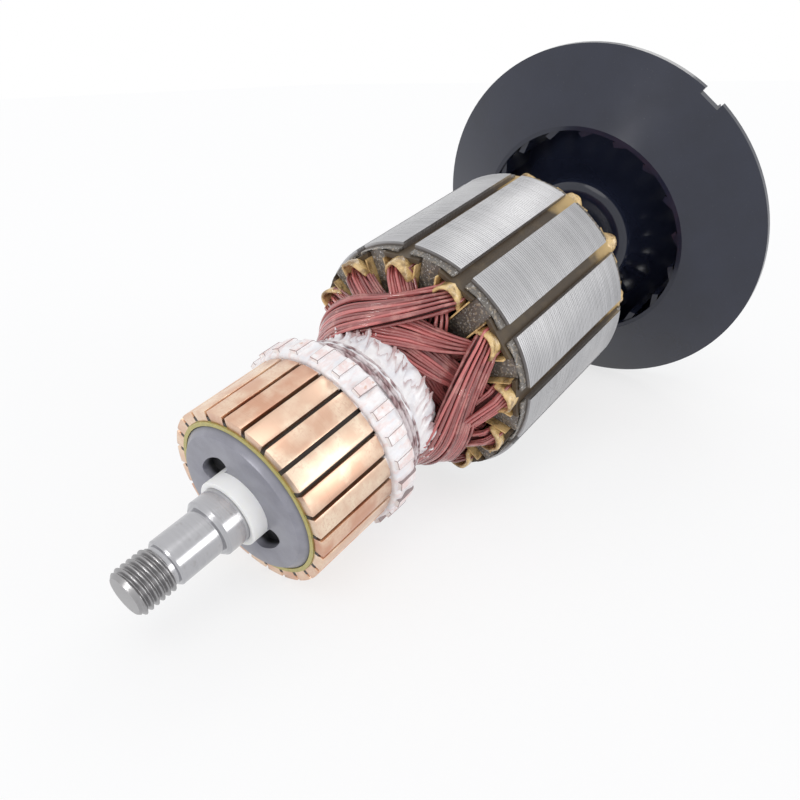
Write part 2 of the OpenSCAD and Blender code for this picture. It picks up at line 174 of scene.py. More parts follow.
class Wire:
    """One value in a material's nodes. + - * and / add Math nodes."""

    def __init__(self, finish, socket):
        self.finish = finish
        self.socket = socket

    def math(self, operation, *others, clamp=False):
        node = self.finish.tree.nodes.new("ShaderNodeMath")
        node.operation = operation
        node.use_clamp = clamp
        for slot, value in zip(node.inputs, (self, *others)):
            self.finish.feed(slot, value)
        return Wire(self.finish, node.outputs[0])

    def __add__(self, other):
        return self.math("ADD", other)

    __radd__ = __add__

    def __mul__(self, other):
        return self.math("MULTIPLY", other)

    __rmul__ = __mul__

    def __sub__(self, other):
        return self.math("SUBTRACT", other)

    def __rsub__(self, other):
        return (self * -1) + other

    def __truediv__(self, other):
        return self.math("DIVIDE", other)

    def clamp(self):
        return self.math("ADD", 0.0, clamp=True)

    def step(self, low, high):
        """0 below low, 1 above high and smooth between."""
        return self.finish.node(
            "ShaderNodeMapRange",
            {"interpolation_type": "SMOOTHSTEP"},
            {"Value": self, "From Min": low, "From Max": high},
        )


class Finish:
    """A material under construction."""

    def __init__(self, name):
        self.material = bpy.data.materials.new(name)
        self.material.use_nodes = True
        self.tree = self.material.node_tree
        self.shader = self.tree.nodes["Principled BSDF"]

    def feed(self, slot, value):
        if isinstance(value, Wire):
            self.tree.links.new(value.socket, slot)
        elif slot.type == "RGBA":
            slot.default_value = (*value, 1.0) if len(value) == 3 else value
        else:
            slot.default_value = value

    def node(self, kind, settings=None, values=None, out=0):
        node = self.tree.nodes.new(kind)
        for key, value in (settings or {}).items():
            setattr(node, key, value)
        for key, value in (values or {}).items():
            self.feed(node.inputs[key], value)
        return Wire(self, node.outputs[out])

    def place(self):
        """Place in the armature's frame, in millimetres, as a vector."""
        values = {"Location": tuple(ORIGIN), "Rotation": TURN, "Scale": (MM, MM, MM)}
        values["Vector"] = self.node("ShaderNodeTexCoord", out="Object")
        return self.node("ShaderNodeMapping", {"vector_type": "TEXTURE"}, values)

    def split(self, vector):
        node = self.tree.nodes.new("ShaderNodeSeparateXYZ")
        self.feed(node.inputs[0], vector)
        return [Wire(self, output) for output in node.outputs]

    def join(self, x, y, z):
        return self.node("ShaderNodeCombineXYZ", None, {"X": x, "Y": y, "Z": z})

    def round_place(self):
        """(radius, angle, distance along the shaft) in millimetres and radians."""
        x, y, z = self.split(self.place())
        radius = (x * x + y * y).math("SQRT")
        return radius, y.math("ARCTAN2", x), z

    def noise(self, scale, detail=2.0, vector=None, rough=0.5):
        values = {"Scale": scale, "Detail": detail, "Roughness": rough}
        values["Vector"] = vector or self.place()
        return self.node("ShaderNodeTexNoise", None, values)

    def mix(self, factor, first, second):
        node = self.tree.nodes.new("ShaderNodeMix")
        node.data_type = "RGBA"  # its sockets 6 and 7 take the colours, and output 2 is the mix
        for number, value in ((0, factor), (6, first), (7, second)):
            self.feed(node.inputs[number], value)
        return Wire(self, node.outputs[2])

    def white(self, number):
        """A random value for each whole number."""
        return self.node("ShaderNodeTexWhiteNoise", {"noise_dimensions": "1D"}, {"W": number})

    def own(self, angle, count, turn):
        """A random value for each of count parts round the shaft, the first at turn degrees."""
        part = (angle * (180 / math.pi) - turn) * (count / 360) + 0.5 + 2 * count
        return self.white(part.math("FLOOR").math("MODULO", count))

    def attribute(self, name):
        return self.node("ShaderNodeAttribute", {"attribute_name": name}, None, "Fac")

    def bump(self, height, distance, strength=1.0):
        values = {"Height": height, "Distance": distance * MM, "Strength": strength}
        return self.node("ShaderNodeBump", None, values)

    def done(self, **values):
        """Sets or links sockets of the shader; an underscore stands for a space."""
        for key, value in values.items():
            self.feed(self.shader.inputs[key.replace("_", " ").title()], value)
        return self.material


def shade(colour, factor):
    return tuple(min(1.0, c * factor) for c in colour)


def steel_finish():
    f = Finish("shaft_steel")
    radius, angle, z = f.round_place()
    lines = f.noise(1.0, 4.0, f.join(angle * 0.6, radius * 2, z * 9))
    cloud = f.noise(0.35, 3.0)
    stain = f.noise(0.9, 5.0, rough=0.7).step(0.56, 0.72)
    colour = f.mix(lines, shade(colours().steel, 0.82), shade(colours().steel, 1.12))
    colour = f.mix(stain * 0.35, colour, (0.28, 0.26, 0.25))
    threaded = 1 - z.step(NECK_Z - 0.3, NECK_Z + 0.3)
    colour = f.mix(threaded * 0.45, colour, (0.20, 0.19, 0.18))
    return f.done(
        base_color=colour,
        metallic=1.0,
        roughness=lines * 0.08 + cloud * 0.12 + 0.10 + threaded * 0.12,
        normal=f.bump(lines, 0.02, 0.5),
    )


def copper_finish():
    f = Finish("commutator_copper")
    radius, angle, z = f.round_place()
    lines = f.noise(1.0, 5.0, f.join(angle * 1.5, 0.0, z * 7))
    patch = f.noise(0.22, 3.0)
    fine = f.noise(2.2, 4.0, rough=0.65)
    # Cream patches and lighter whole bars: partly tone that differs at random, partly painted
    # sheen of light caught by the bars' facets.
    light = (patch.step(0.38, 0.70) * 0.55 + f.own(angle, BAR_COUNT, BAR_TURN) * 0.5).clamp()
    copper = f.mix(light, shade(colours().copper, 0.88), (0.94, 0.79, 0.62))
    copper = f.mix(lines.step(0.55, 0.8) * 0.35, copper, shade(colours().copper, 0.6))
    oxide = (fine * 0.6 + patch * 0.4).step(0.52, 0.64) * 0.3
    copper = f.mix(oxide, copper, (0.62, 0.30, 0.19))
    brush = f.noise(0.45, 4.0, f.join(angle * 14, radius, z * 0.5))
    ragged = z + (brush - 0.5) * 1.6
    painted = ragged.step(PAINT_Z - 0.3, PAINT_Z + 0.3)
    raised = radius.step(TRACK_R + 0.6, TRACK_R + 1.6)
    thin = (f.noise(0.55, 4.0, rough=0.6) * 0.7 + raised * 0.28).step(0.50, 0.68)
    paint = f.mix(thin * 0.85, colours().paint, colours().blush)
    bare = painted * f.noise(0.8, 3.0).step(0.64, 0.74)
    paint = f.mix(bare * 0.7, paint, (0.72, 0.42, 0.30))
    colour = f.mix(painted, copper, paint)
    # The dark line on the narrow faces round the hooks is painted shade of their crevices.
    colour = f.mix(f.attribute("rim") * painted * 0.8, colour, (0.20, 0.13, 0.13))
    height = lines * 0.25 + painted * 0.5 + painted * fine * 0.8
    return f.done(
        base_color=colour,
        metallic=1 - painted,
        roughness=(lines * 0.15 + fine * 0.1 + 0.2) * (1 - painted) + painted * 0.45,
        normal=f.bump(height, 0.06, 0.5),
    )


def resin_finish():
    f = Finish("moulding_resin")
    radius, _, _ = f.round_place()
    fine = f.noise(1.8, 4.0)
    rim = f.mix(fine, shade(colours().resin, 0.75), shade(colours().resin, 1.5))
    # Between the bars the moulding is painted near black: painted shade in the narrow gaps.
    colour = f.mix(radius.step(RIM_R - 0.1, RIM_R + 0.1), rim, (0.022, 0.014, 0.010))
    return f.done(
        base_color=colour, roughness=fine * 0.2 + 0.3, normal=f.bump(fine, 0.08, 0.6)
    )


def ring_finish():
    f = Finish("front_ring")
    radius, angle, z = f.round_place()
    grain = f.noise(6.0, 3.0)
    cloud = f.noise(0.4, 4.0)
    colour = f.mix(cloud, shade(colours().ring, 0.8), shade(colours().ring, 1.35))
    colour = f.mix(grain.step(0.6, 0.75) * 0.4, colour, (0.42, 0.42, 0.46))
    turned = f.noise(1.0, 3.0, f.join(radius * 5, angle * 0.3, 0.0))
    # The pockets' insides are painted near black and less metallic: painted shade in their depth.
    pocket_shade = z.step(RING_Z + 0.4, RING_Z + 1.4)  # the pockets
    colour = f.mix(pocket_shade, colour, (0.016, 0.016, 0.018))
    return f.done(
        base_color=colour,
        metallic=(1 - pocket_shade) * 0.35,
        roughness=cloud * 0.15 + 0.26,
        normal=f.bump(grain * 0.5 + turned * 0.5, 0.03, 0.5),
    )


def sleeve_finish():
    f = Finish("white_insulation")
    cloud = f.noise(0.3, 3.0)
    fine = f.noise(3.0, 3.0)
    colour = f.mix(cloud, shade(colours().sleeve, 0.93), shade(colours().sleeve, 1.08))
    return f.done(
        base_color=colour,
        roughness=fine * 0.1 + 0.34,
        subsurface_weight=0.2,
        subsurface_radius=(0.002, 0.002, 0.0015),
        normal=f.bump(fine, 0.03, 0.4),
    )


def paint_finish():
    f = Finish("white_coating")
    radius, angle, z = f.round_place()
    streak = f.noise(1.0, 4.0, f.join(angle * 16, radius * 0.6, z * 0.35))
    soft = f.noise(0.35, 3.0)
    # Soft random patches of bluish grey on the white are painted shade.
    colour = f.mix(soft.step(0.35, 0.7), shade(colours().paint, 1.02), (0.86, 0.86, 0.90))
    seam = (1 - z.step(CORD_Z - 0.8, CORD_Z + 0.6)) * streak.step(0.45, 0.7)
    colour = f.mix(seam * 0.6, colour, colours().blush)
    behind = z.step(CORD_Z + 2.7, CORD_Z + 6.2)
    far = (f.attribute("thin") * 1.3 + streak.step(0.52, 0.75) * behind * 0.35).clamp()
    colour = f.mix(far * 0.75, colour, (0.50, 0.25, 0.24))
    return f.done(
        base_color=colour,
        roughness=streak * 0.2 + 0.3,
        coat_weight=0.25,
        normal=f.bump(streak + f.noise(1.4, 3.0) * 0.4, 0.35, 0.7),
    )


def cord_finish():
    f = Finish("binding_cord")
    _, angle, z = f.round_place()
    plies = 58  # seen in one turn of the cord
    ply = (angle * plies + z * 9).math("SINE") * 0.5 + 0.5
    paint = f.noise(0.4, 3.0).step(0.42, 0.58)
    # The darker tone of each ply stripe is painted shade in the grooves between the plies.
    colour = f.mix(ply, (0.24, 0.14, 0.145), (0.47, 0.33, 0.34))
    colour = f.mix(paint * 0.75, colour, (0.84, 0.78, 0.79))
    return f.done(base_color=colour, roughness=0.6, normal=f.bump(ply, 0.12, 0.8))


def sheet_finish():
    f = Finish("core_steel")
    radius, angle, z = f.round_place()
    pitch = sizes().sheet_pitch / MM
    sheet = f.white((z / pitch).math("FLOOR"))
    grind = f.noise(1.0, 4.0, f.join(angle * 60, 0.0, z * 0.6))
    cloud = f.noise(0.12, 2.0)
    colour = f.mix(sheet, shade(colours().sheet, 0.93), shade(colours().sheet, 1.06))
    colour = f.mix(cloud.step(0.40, 0.7) * 0.4, colour, (0.60, 0.60, 0.61))
    inside = 1 - radius.step(CORE_R - 0.7, CORE_R - 0.2)
    colour = f.mix(inside * 0.8, colour, (0.12, 0.09, 0.07))
    return f.done(
        base_color=colour,
        metallic=1 - inside * 0.8,
        roughness=sheet * 0.05 + grind * 0.1 + 0.30,
        normal=f.bump(grind * 0.4 + sheet * 0.6, 0.012, 0.4),
    )


def board_finish():
    f = Finish("end_plate")
    speck = f.noise(2.6, 2.0, rough=0.4).step(0.60, 0.68)
    fleck = f.noise(1.5, 3.0).step(0.52, 0.62)
    colour = f.mix(fleck, colours().board, (0.30, 0.25, 0.19))
    colour = f.mix(speck * 0.8, colour, (0.62, 0.61, 0.60))
    return f.done(
        base_color=colour,
        roughness=speck * -0.1 + 0.38,
        coat_weight=0.5,
        normal=f.bump(speck + fleck, 0.12, 0.7),
    )


def film_finish():
    f = Finish("slot_film")
    cloud = f.noise(0.45, 4.0, rough=0.6)
    fine = f.noise(1.6, 3.0)
    colour = f.mix(cloud.step(0.42, 0.66), shade(colours().film, 1.25), (0.27, 0.16, 0.06))
    colour = f.mix(fine.step(0.58, 0.75) * 0.5, colour, (0.74, 0.62, 0.36))
    return f.done(
        base_color=colour,
        roughness=fine * 0.2 + 0.18,
        coat_weight=0.7,
        normal=f.bump(fine + cloud, 0.3, 0.7),
    )


def wedge_finish():
    f = Finish("slot_wedge")
    _, angle, z = f.round_place()
    fibre = f.noise(1.0, 4.0, f.join(angle * 40, 0.0, z * 0.3))
    cloud = f.noise(0.25, 3.0)
    colour = f.mix(fibre, (0.022, 0.014, 0.008), (0.11, 0.07, 0.035))
    colour = f.mix(cloud.step(0.5, 0.7) * 0.5, colour, (0.17, 0.12, 0.06))
    colour = f.mix(f.own(angle, SLOT_COUNT, SLOT_TURN) * 0.6, colour, (0.10, 0.08, 0.06))
    rear = (z + cloud * 6).step(CORE_END_Z - 3.0, CORE_END_Z + 1.0)
    colour = f.mix(rear * 0.85, colour, colours().film)
    f.shader.inputs["Specular IOR Level"].default_value = 0.25
    return f.done(
        base_color=colour,
        roughness=fibre * 0.2 + 0.35,
        coat_weight=0.15,
        normal=f.bump(fibre, 0.1, 0.6),
    )


def wire_finish():
    f = Finish("enamelled_wire")
    blotch = f.noise(0.35, 4.0, rough=0.6)
    fine = f.noise(3.0, 3.0)
    # Each wire gets its own brightness, 0.62 to 1.65 times the wire colour: partly tone that
    # differs from wire to wire, partly painted highlight and shade.
    colour = f.mix(f.attribute("strand"), shade(colours().wire, 0.62), shade(colours().wire, 1.65))
    colour = f.mix(blotch.step(0.48, 0.66) * 0.6, colour, colours().wire_light)
    colour = f.mix(fine.step(0.62, 0.75) * 0.4, colour, (0.20, 0.05, 0.05))
    return f.done(
        base_color=colour,
        roughness=fine * 0.12 + 0.18,
        coat_weight=blotch * 0.4 + 0.6,
        normal=f.bump(fine, 0.03, 0.5),
    )


def coil_shade_finish():
    """The inside of a coil between its wires, painted near black: painted shade."""
    f = Finish("wire_bundle")
    fine = f.noise(1.2, 3.0)
    colour = f.mix(fine, (0.030, 0.006, 0.006), (0.085, 0.018, 0.016))
    return f.done(base_color=colour, roughness=fine * 0.2 + 0.45, normal=f.bump(fine, 0.2, 0.8))


def fan_finish():
    f = Finish("fan_plastic")
    sheen_cloud = f.noise(0.12, 3.0)
    dust = f.noise(5.0, 2.0).step(0.72, 0.78)
    grain = f.noise(9.0, 2.0)
    # Broad lighter and darker clouds in the black are painted sheen, standing in for soft
    # reflections.
    colour = f.mix(sheen_cloud, shade(colours().fan, 0.8), shade(colours().fan, 1.5))
    colour = f.mix(dust * 0.35, colour, (0.16, 0.16, 0.18))
    return f.done(
        base_color=colour,
        roughness=sheen_cloud * 0.10 + dust * 0.2 + 0.11,
        coat_weight=0.1,
        normal=f.bump(grain, 0.008, 0.4),
    )


# ---- Making pieces

MERGE = 0.002 * MM  # vertices closer than this are one


def deselect():
    if bpy.context.object and bpy.context.object.mode != "OBJECT":
        bpy.ops.object.mode_set(mode="OBJECT")
    bpy.ops.object.select_all(action="DESELECT")


def pick(*objects):
    deselect()
    for obj in objects:
        obj.select_set(True)
    bpy.context.view_layer.objects.active = objects[0]


def add(name, data):
    obj = bpy.data.objects.new(name, data)
    bpy.context.collection.objects.link(obj)
    return obj


def modify(obj, kind, **settings):
    """Adds a modifier and applies it."""
    pick(obj)
    bpy.ops.object.modifier_add(type=kind)
    modifier = obj.modifiers[-1]
    for key, value in settings.items():
        setattr(modifier, key, value)
    bpy.ops.object.modifier_apply(modifier=modifier.name)


def edit(obj):
    """Opens a mesh for editing, all of it selected."""
    pick(obj)
    bpy.ops.object.mode_set(mode="EDIT")
    bpy.ops.mesh.select_all(action="SELECT")


def lay(obj, place=LAY):
    """Moves a piece made along Z at the scene's centre to its place, in its mesh."""
    obj.matrix_world = place @ obj.matrix_world
    pick(obj)
    bpy.ops.object.transform_apply(location=True, rotation=True, scale=True)


def dress(obj, name, finish, nodes=(), smooth=30):
    """Names a finished piece, gives it its finish, hangs it on the root and hides the CAD nodes
    that it stands for.
    """
    obj.name = name
    obj.data.name = name
    obj.data.materials.clear()
    obj.data.materials.append(finish)
    pick(obj)
    bpy.ops.object.shade_smooth_by_angle(angle=math.radians(smooth))
    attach(obj, "root")
    if nodes:
        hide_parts(*nodes)
    return obj


def clamp(value):
    return min(1.0, max(0.0, value))


def ease(value):
    """0 to 1 with a soft start and end."""
    return value * value * (3 - 2 * value)


def lerp(a, b, f):
    return a + (b - a) * f


def outline(points, closed=False):
    """An object whose mesh is one line through (radius, z) points in millimetres."""
    deselect()
    bpy.ops.mesh.primitive_plane_add(size=MM)
    obj = bpy.context.object
    bpy.ops.object.mode_set(mode="EDIT")
    bpy.ops.mesh.select_all(action="SELECT")
    bpy.ops.mesh.merge(type="CENTER")
    before = Vector((0, 0, 0))
    for i, (radius, z) in enumerate(points):
        here = Vector((radius * MM, 0, z * MM))
        move = {"value": tuple(here - before)}
        if i:
            bpy.ops.mesh.extrude_region_move(TRANSFORM_OT_translate=move)
        else:
            bpy.ops.transform.translate(**move)
        before = here
    if closed:
        bpy.ops.object.mode_set(mode="OBJECT")
        last = len(obj.data.vertices) - 1
        for i, vertex in enumerate(obj.data.vertices):
            vertex.select = i in (0, last)
        bpy.ops.object.mode_set(mode="EDIT")
        bpy.ops.mesh.edge_face_add()
    bpy.ops.object.mode_set(mode="OBJECT")
    return obj


def turned(points, steps, closed=False):
    """Turns an outline about the shaft's axis."""
    obj = outline(points, closed)
    merged = {"use_merge_vertices": True, "merge_threshold": 0.001 * MM}
    modify(obj, "SCREW", angle=math.tau, steps=steps, render_steps=steps, **merged)
    clean(obj)
    return obj


def clean(obj):
    """Merges doubles and turns the faces outwards."""
    edit(obj)
    bpy.ops.mesh.remove_doubles(threshold=MERGE)
    bpy.ops.mesh.normals_make_consistent(inside=False)
    bpy.ops.object.mode_set(mode="OBJECT")


def copy_of(node, flat=1.0):
    """A merged copy of a CAD node, with its flat faces made whole."""
    source = frame["nodes"][node]
    obj = source.copy()
    obj.data = source.data.copy()
    bpy.context.collection.objects.link(obj)
    obj.parent = None
    obj.matrix_world = Matrix.Identity(4)
    obj.hide_render = False
    if obj.data.has_custom_normals:
        pick(obj)
        bpy.ops.mesh.customdata_custom_splitnormals_clear()
    edit(obj)
    bpy.ops.mesh.remove_doubles(threshold=MERGE)
    if flat:
        bpy.ops.mesh.dissolve_limited(angle_limit=math.radians(flat))
    bpy.ops.object.mode_set(mode="OBJECT")
    return obj


def delete_faces(obj, unwanted):
    """Deletes the faces for which unwanted(face) is true."""
    pick(obj)
    bpy.ops.object.mode_set(mode="EDIT")
    bpy.ops.mesh.select_mode(type="FACE")
    bpy.ops.object.mode_set(mode="OBJECT")
    for face in obj.data.polygons:
        face.select = unwanted(face)
    bpy.ops.object.mode_set(mode="EDIT")
    bpy.ops.mesh.delete(type="FACE")
    bpy.ops.mesh.select_mode(type="VERT")
    bpy.ops.object.mode_set(mode="OBJECT")


def soften(obj, width, segments=2):
    """Rounds the sharp edges."""
    sharp = {"limit_method": "ANGLE", "angle_limit": math.radians(35)}
    modify(obj, "BEVEL", width=width, segments=segments, use_clamp_overlap=True, **sharp)


def assign(node, finish):
    """Gives a CAD node its finish and leaves its shape alone."""
    if not node.material_slots:
        node.data.materials.append(finish)
    for slot in node.material_slots:
        slot.material = finish


def place_of(co):
    """(radius, angle in degrees, z) in millimetres of a point of the row frame."""
    p = LAY.inverted() @ Vector(co)
    return math.hypot(p.x, p.y) / MM, math.degrees(math.atan2(p.y, p.x)), p.z / MM


def round_point(radius, angle, z):
    """The point of the row frame at that place round the shaft."""
    a = math.radians(angle)
    return LAY @ Vector((radius * math.cos(a) * MM, radius * math.sin(a) * MM, z * MM))


def tubes(name, paths, radius, sides=1):
    """Round wires along lists of points, as one mesh with a random value for each in 'strand'."""
    curve = bpy.data.curves.new(name, "CURVE")
    curve.dimensions = "3D"
    curve.bevel_depth = radius
    curve.bevel_resolution = sides
    curve.use_fill_caps = True
    for path in paths:
        spline = curve.splines.new("POLY")
        spline.points.add(len(path) - 1)
        for i, point in enumerate(path):
            spline.points[i].co = (*point, 1.0)
    pick(add(name, curve))
    bpy.ops.object.convert(target="MESH")
    obj = bpy.context.object
    total = len(obj.data.vertices)
    each = total // len(paths)
    attribute = obj.data.attributes.new("strand", "FLOAT", "POINT")
    draw = Random(len(paths))
    values = [draw.random() for _ in paths]
    for i in range(total):
        attribute.data[i].value = values[min(i // each, len(paths) - 1)]
    return obj


# ---- Shaft


class ARMATURE_OT_shaft(bpy.types.Operator):
    """Turned shaft with a real thread, ground seats and softened steps"""

    bl_idname = "armature.shaft"
    bl_label = "Shaft"

    edge = 0.6  # chamfers, in millimetres like all that follows
    shaft_r = 5.0
    neck_r = 3.35
    rounding = 0.12
    undercut = 0.12  # of the groove between seat and shoulder

    def execute(self, context):
        obj = turned(self.profile(), steps=120)
        self.cut_thread(obj)
        lay(obj)
        dress(obj, "threaded_shaft", steel_finish(), ["shaft"], smooth=32)
        return {"FINISHED"}

    def profile(self):
        """(radius, z) from the threaded end to the drive end."""
        edge, r = self.edge, self.shaft_r
        seat_z, shoulder_z, seat_r = pin("front_bearing_seat")
        rear_z, rear_end_z, rear_r = pin("rear_bearing_seat")
        start_z = THREAD_Z - edge
        length_z = NECK_Z - start_z
        count = round(length_z / (sizes().thread_pitch / MM) * 14)  # 14 rings to a turn
        line = [(0.0, start_z), (1.6, start_z)]
        line += [(THREAD_R, start_z + length_z * i / count) for i in range(count + 1)]
        line += [(self.neck_r, NECK_Z), (self.neck_r, seat_z - edge / 2)]
        line += [(seat_r - edge / 2, seat_z - edge / 2)]
        line += [(seat_r - self.rounding, seat_z - self.rounding), (seat_r, seat_z)]
        groove_r = seat_r - self.undercut
        line += [(seat_r, shoulder_z - 0.5), (groove_r, shoulder_z - 0.42), (groove_r, shoulder_z)]
        line += [(r - edge, shoulder_z), (r - self.rounding, shoulder_z + edge - self.rounding)]
        line += [(r, shoulder_z + edge), (r, shoulder_z + 1.5), (r, rear_z - edge)]
        line += [(rear_r, rear_z), (rear_r, rear_z + 1), (rear_r, rear_end_z)]
        line += [(rear_r - 0.15, rear_end_z + 0.2), (rear_r - edge, rear_end_z + edge)]
        return [*line, (0.0, rear_end_z + edge)]

    def cut_thread(self, obj):
        """Winds the thread's ridge round the front end; it runs out at both chamfers."""
        start_z = THREAD_Z - self.edge
        pitch, depth = sizes().thread_pitch / MM, sizes().thread_depth / MM
        for vertex in obj.data.vertices:
            x, y, z = vertex.co / MM
            radius = math.hypot(x, y)
            if radius < 2 or z > NECK_Z + 0.001:
                continue
            turn = math.atan2(y, x) / math.tau
            phase = ((z - start_z) / pitch - turn) % 1.0
            ridge = clamp((abs(phase - 0.5) * 2 - 0.10) / 0.80)
            ridge = ease(ridge) * 0.35 + ridge * 0.65
            wanted = THREAD_R - depth * (1 - ridge)
            chamfer = min(z - start_z, 0.9) + THREAD_R - 0.75
            end = min((NECK_Z - z) * 1.4, depth) + THREAD_R - depth
            wanted = min(wanted, max(chamfer, THREAD_R - 0.9), max(end, THREAD_R - depth))
            vertex.co.x *= wanted / radius
            vertex.co.y *= wanted / radius


# ---- Commutator


class ARMATURE_OT_commutator(bpy.types.Operator):
    """Copper bars with softened edges and painted hooks, the grey ring and the moulding"""

    bl_idname = "armature.commutator"
    bl_label = "Commutator"

    hook_len = 4.2

    def execute(self, context):
        copper = copper_finish()
        for k in range(1, BAR_COUNT + 1):
            node = f"commutator_bar_{k}"
            bar = copy_of(node)
            soften(bar, sizes().edge * 1.25)
            self.bend_hook(bar, k)
            self.mark_edge_shade(bar)
            dress(bar, f"copper_bar_{k}", copper, [node])
        ring = copy_of("front_ring", flat=0)
        soften(ring, 0.1 * MM)
        dress(ring, "grey_ring", ring_finish(), ["front_ring"])
        assign(frame["nodes"]["commutator_body"], resin_finish())
        sleeve = copy_of("insulating_sleeve", flat=0)
        soften(sleeve, 0.15 * MM)
        dress(sleeve, "white_sleeve", sleeve_finish(), ["insulating_sleeve"])
        return {"FINISHED"}

    def bend_hook(self, bar, k):
        """Hand-bent hooks differ a little in height and direction."""
        draw = Random(k)
        lift, skew = draw.uniform(-0.12, 0.10), draw.uniform(-0.18, 0.18)
        middle = BAR_TURN + (k - 1) * 360 / BAR_COUNT
        for vertex in bar.data.vertices:
            radius, angle, z = place_of(vertex.co)
            if radius > TRACK_R + 0.1:
                free = max(0.0, COMM_END_Z - z) / self.hook_len
                off = ((angle - middle + 180) % 360 - 180) * (1 - 0.10 * free)
                vertex.co = round_point(radius + lift * free, middle + off + skew * free * 2, z)

    def mark_edge_shade(self, bar):
        """The narrow faces round a hook carry a dark line: painted shade of the crevice round the
        raised hook.
        """
        rim = bar.data.attributes.new("rim", "FLOAT", "CORNER")
        for face in bar.data.polygons:
            corners = [bar.data.vertices[i].co for i in face.vertices]
            shortest = min((a - b).length for a, b in zip(corners, corners[1:] + corners[:1]))
            wear_and_edge_shade = shortest < 0.1 * MM and place_of(face.center)[0] > TRACK_R + 0.6
            for corner in face.loop_indices:
                rim.data[corner].value = float(wear_and_edge_shade)


# ---- Core


class ARMATURE_OT_core(bpy.types.Operator):
    """Stack of thin sheets, speckled end plates and brown wedges"""

    bl_idname = "armature.core"
    bl_label = "Core"

    def execute(self, context):
        core = copy_of("core_stack", flat=0)
        lay(core, LAY.inverted())
        delete_faces(core, lambda face: face.normal.z > -0.9)  # all but the front face
        edit(core)
        bpy.ops.mesh.dissolve_limited(angle_limit=math.radians(1))
        bpy.ops.object.mode_set(mode="OBJECT")
        count = round((CORE_END_Z - CORE_Z) / (sizes().sheet_pitch / MM))
        pitch = (CORE_END_Z - CORE_Z) * MM / count
        modify(core, "SOLIDIFY", thickness=pitch - sizes().sheet_gap, offset=-1)
        apart = {"use_constant_offset": True, "constant_offset_displace": (0, 0, pitch)}
        modify(core, "ARRAY", count=count, use_relative_offset=False, **apart)
        # no two sheets are quite as wide
        draw = Random(5)
        grow = [1 + draw.uniform(-0.0004, 0.0) for _ in range(count)]
        first = CORE_Z * MM
        for vertex in core.data.vertices:
            sheet = min(count - 1, max(0, int((vertex.co.z - first) / pitch + 0.01)))
            vertex.co.x *= grow[sheet]
            vertex.co.y *= grow[sheet]
        lay(core)
        dress(core, "core_sheets", sheet_finish(), ["core_stack"])
        board = board_finish()
        for node in ("front_end_plate", "rear_end_plate"):
            plate = copy_of(node, flat=0.5)
            soften(plate, 0.25 * MM, segments=3)
            dress(plate, node + "_board", board, [node])
        assign(frame["nodes"]["slot_wedges"], wedge_finish())
        return {"FINISHED"}


# ---- Stage


def seen(tree):
    """1 for rays from the camera, in reflections and through glass."""
    path = tree.nodes.new("ShaderNodeLightPath")
    total = path.outputs["Is Camera Ray"]
    for name in ("Is Glossy Ray", "Is Transmission Ray"):
        larger = tree.nodes.new("ShaderNodeMath")
        larger.operation = "MAXIMUM"
        tree.links.new(total, larger.inputs[0])
        tree.links.new(path.outputs[name], larger.inputs[1])
        total = larger.outputs[0]
    return total


def backdrop(block, kinds, colour, share, light=None):
    """Mixes a plain shader with a white glow, by the given share, for the rays that see it."""
    block.use_nodes = True
    tree = block.node_tree
    tree.nodes.clear()
    out, base, white = (tree.nodes.new("ShaderNode" + kind) for kind in kinds)
    base.inputs["Color"].default_value = (*colour, 1)
    if light:
        base.inputs["Strength"].default_value = light
    white.inputs["Color"].default_value = (1, 1, 1, 1)
    white.inputs["Strength"].default_value = 1.0
    part = tree.nodes.new("ShaderNodeMath")
    part.operation = "MULTIPLY"
    part.inputs[1].default_value = share
    tree.links.new(seen(tree), part.inputs[0])
    mix = tree.nodes.new("ShaderNodeMixShader")
    tree.links.new(part.outputs[0], mix.inputs["Fac"])
    tree.links.new(base.outputs[0], mix.inputs[1])
    tree.links.new(white.outputs[0], mix.inputs[2])
    tree.links.new(mix.outputs[0], out.inputs["Surface"])


# name, strength, spread in degrees, and the direction that the lamp stands in
LAMPS = (
    ("soft_key", 0.45, 40, (-0.35, -0.25, 1.0)),
    ("soft_side", 0.72, 34, (0.38, -0.95, 0.16)),
    ("soft_back", 0.25, 24, (0.75, 0.10, 0.65)),
    ("soft_front", 0.50, 9, (-0.77, 0.08, 0.07)),
)
LAMP_COLOUR = (1.0, 0.985, 0.96)
ROOM_COLOUR, ROOM_LIGHT = (0.97, 0.98, 1.0), 0.74
FLOOR_COLOUR, FLOOR_GLOW = (0.985, 0.988, 1.0), 0.72
LENS, SENSOR = 33.8805, 36.0
EYE = Vector((-62.886, -85.384, 62.200))  # from ORIGIN, in millimetres
FORWARD = Vector((0.69894, 0.58933, -0.40519))
RIGHT = Vector((0.63659, -0.77086, -0.02305))


